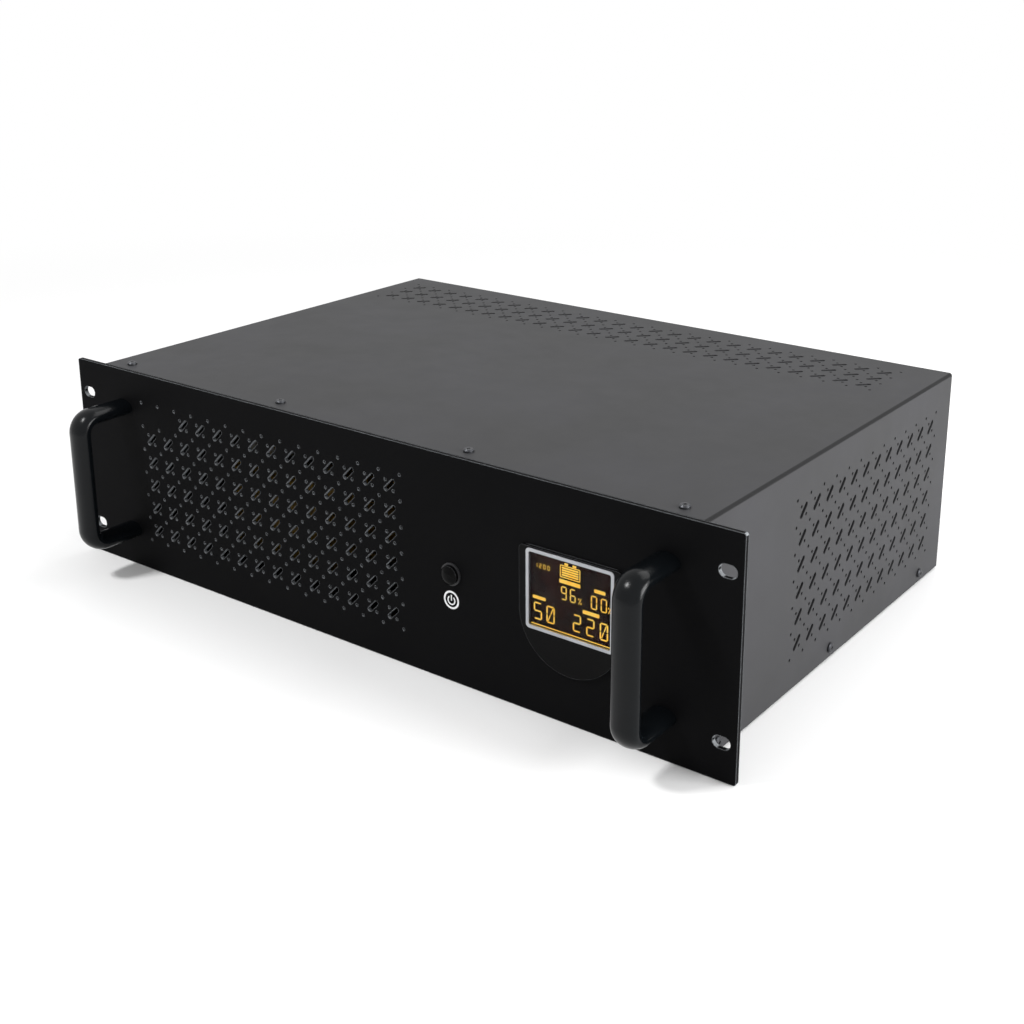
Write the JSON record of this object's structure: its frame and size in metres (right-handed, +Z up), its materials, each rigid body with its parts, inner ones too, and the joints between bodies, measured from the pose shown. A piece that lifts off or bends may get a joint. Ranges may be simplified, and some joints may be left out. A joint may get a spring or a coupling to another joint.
{
  "type": "uninterruptible power supply",
  "caption": "Rack-mounted uninterruptible power supply three units high, with bow handles, vented folded cover, display and push button on the front, outlets and fan at the back.",
  "frame": {"origin": "centre of the four rack slots on the rear face of the front panel", "axes": "+X to the right seen from the front, +Y towards the back, +Z up"},
  "size_m": [0.4826, 0.3532, 0.1323],
  "materials": {
    "powder_coated_panel": "satin black fine powder coat",
    "powder_coated_handle": "satin blue-black powder coat",
    "powder_coated_cover": "satin black fine powder coat",
    "powder_coated_chassis": "satin black fine powder coat",
    "zinc_steel": "bright zinc plate",
    "black_screw": "black oxide",
    "gloss_black_plastic": "high gloss",
    "silver_plastic": "silver paint",
    "clear_window": "clear polished acrylic",
    "lcd_glass": "dark glass cell",
    "circuit_board": "solder mask on glass epoxy",
    "grey_cable": "flat ribbon insulation",
    "black_nylon": "moulded, fine grain",
    "core_steel": "wound silicon steel strip",
    "winding": "film tape over enamelled wire",
    "rubber": "matt",
    "battery_case": "moulded ABS",
    "terminal_brass": "plated",
    "cable_red": "PVC insulation",
    "aluminium": "extruded, mill finish",
    "black_epoxy": "moulded epoxy",
    "capacitor_sleeve": "shrink sleeve",
    "relay_case": "moulded",
    "terminal_block_green": "moulded",
    "bright_wire": "bright plated wire",
    "red_plastic": "moulded"
  },
  "bodies": {
    "chassis": {"battery_1": "battery_case", "battery_2": "battery_case", "battery_leads": "cable_red", "battery_pad": "rubber", "battery_strap": "zinc_steel", "battery_strap_nuts": "zinc_steel", "battery_terminals": "terminal_brass", "board_screws": "zinc_steel", "board_standoffs": "terminal_brass", "breaker_body": "black_nylon", "breaker_nut": "zinc_steel", "capacitors": "capacitor_sleeve", "chassis_base": "powder_coated_chassis", "choke": "winding", "control_board": "circuit_board", "cover_side_screws": "black_screw", "cover_top_screws": "black_screw", "data_port": "silver_plastic", "display_bezel": "gloss_black_plastic", "display_board": "circuit_board", "display_frame": "silver_plastic", "display_ribbon": "grey_cable", "display_screws": "zinc_steel", "display_window": "clear_window", "earth_stud": "terminal_brass", "fan_frame": "black_nylon", "fan_guard": "bright_wire", "fan_screws": "zinc_steel", "front_panel": "powder_coated_panel", "handle_left": "powder_coated_handle", "handle_right": "powder_coated_handle", "handle_screws": "zinc_steel", "handle_washers": "zinc_steel", "heatsinks": "aluminium", "inlet_pins": "terminal_brass", "inlet_screws": "zinc_steel", "lcd_module": "lcd_glass", "main_board": "circuit_board", "mains_inlet": "black_nylon", "outlet_1": "black_nylon", "outlet_2": "black_nylon", "outlet_3": "black_nylon", "outlet_contacts": "terminal_brass", "panel_nuts": "zinc_steel", "power_switch": "black_nylon", "power_switch_nut": "black_nylon", "power_transistors": "black_epoxy", "relays": "relay_case", "terminal_blocks": "terminal_block_green", "top_cover": "powder_coated_cover", "top_rail": "zinc_steel", "transformer_clamp": "zinc_steel", "transformer_core": "core_steel", "transformer_nut": "zinc_steel", "transformer_pads": "rubber", "transformer_winding": "winding"},
    "button": {"power_button": "gloss_black_plastic"},
    "rotor": {"fan_rotor": "black_nylon"},
    "reset_button": {"breaker_button": "red_plastic"}
  },
  "joints": [
    {"name": "power_button_press", "type": "slide", "parent": "chassis", "child": "button", "axis": [0, 1, 0], "range_m": [0, 0.0025], "stiffness_N_per_m": 600, "springref_m": -0.001},
    {"name": "fan_spin", "type": "hinge", "parent": "chassis", "child": "rotor", "pos_m": [-0.15, 0.284, 0], "axis": [0, 1, 0], "continuous": true},
    {"name": "breaker_reset", "type": "slide", "parent": "chassis", "child": "reset_button", "axis": [0, 1, 0], "range_m": [0, 0.0045]}
  ]
}
